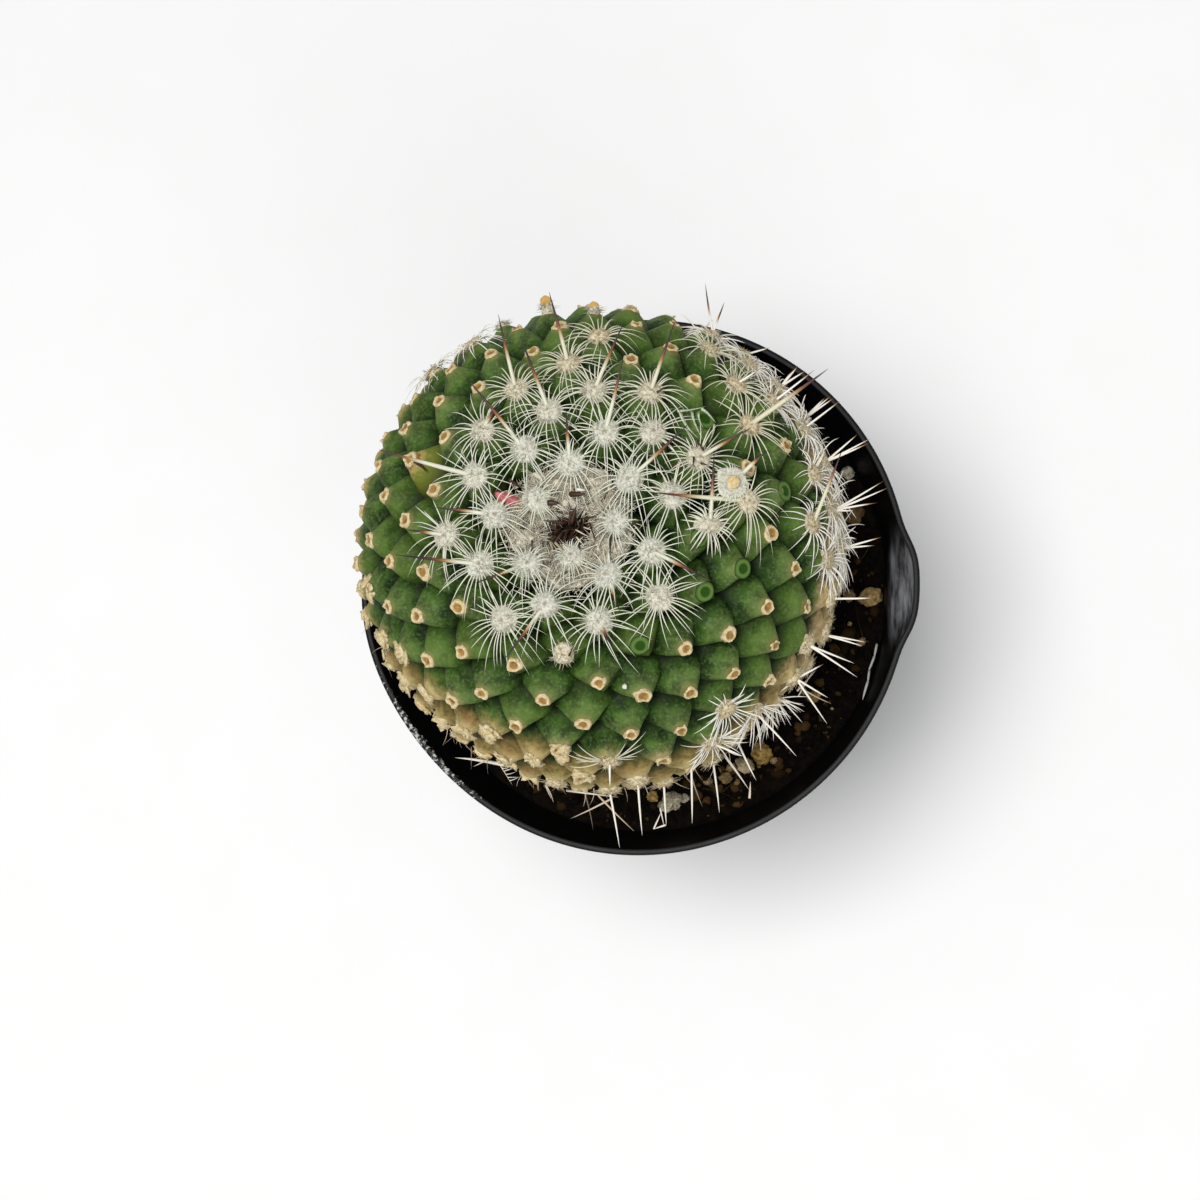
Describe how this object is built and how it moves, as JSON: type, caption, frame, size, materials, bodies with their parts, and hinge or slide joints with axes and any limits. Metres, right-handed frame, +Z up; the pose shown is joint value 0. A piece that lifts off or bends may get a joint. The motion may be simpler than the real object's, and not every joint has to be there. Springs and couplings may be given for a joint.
{
  "type": "potted mammillaria",
  "caption": "Globular mammillaria cactus with spiralled tubercles, white spine stars and a pink bud, in a small round black nursery pot with dark soil.",
  "frame": {"origin": "centre of the underside of the pot's base, on the pot's axis", "axes": "+Z up along the pot's axis; the plant's crown leans towards -X and +Y of the pot's axis"},
  "size_m": [0.0861, 0.0892, 0.1238],
  "materials": {
    "pot": "black moulded polypropylene, slightly scuffed",
    "soil": "dark potting mix with tan grit",
    "cactus": "smooth waxy green skin with white spines",
    "flower_bud": "soft pink petal"
  },
  "bodies": {
    "root": {"pot": "pot", "soil": "soil", "cactus": "cactus", "flower_bud": "flower_bud"}
  },
  "joints": []
}
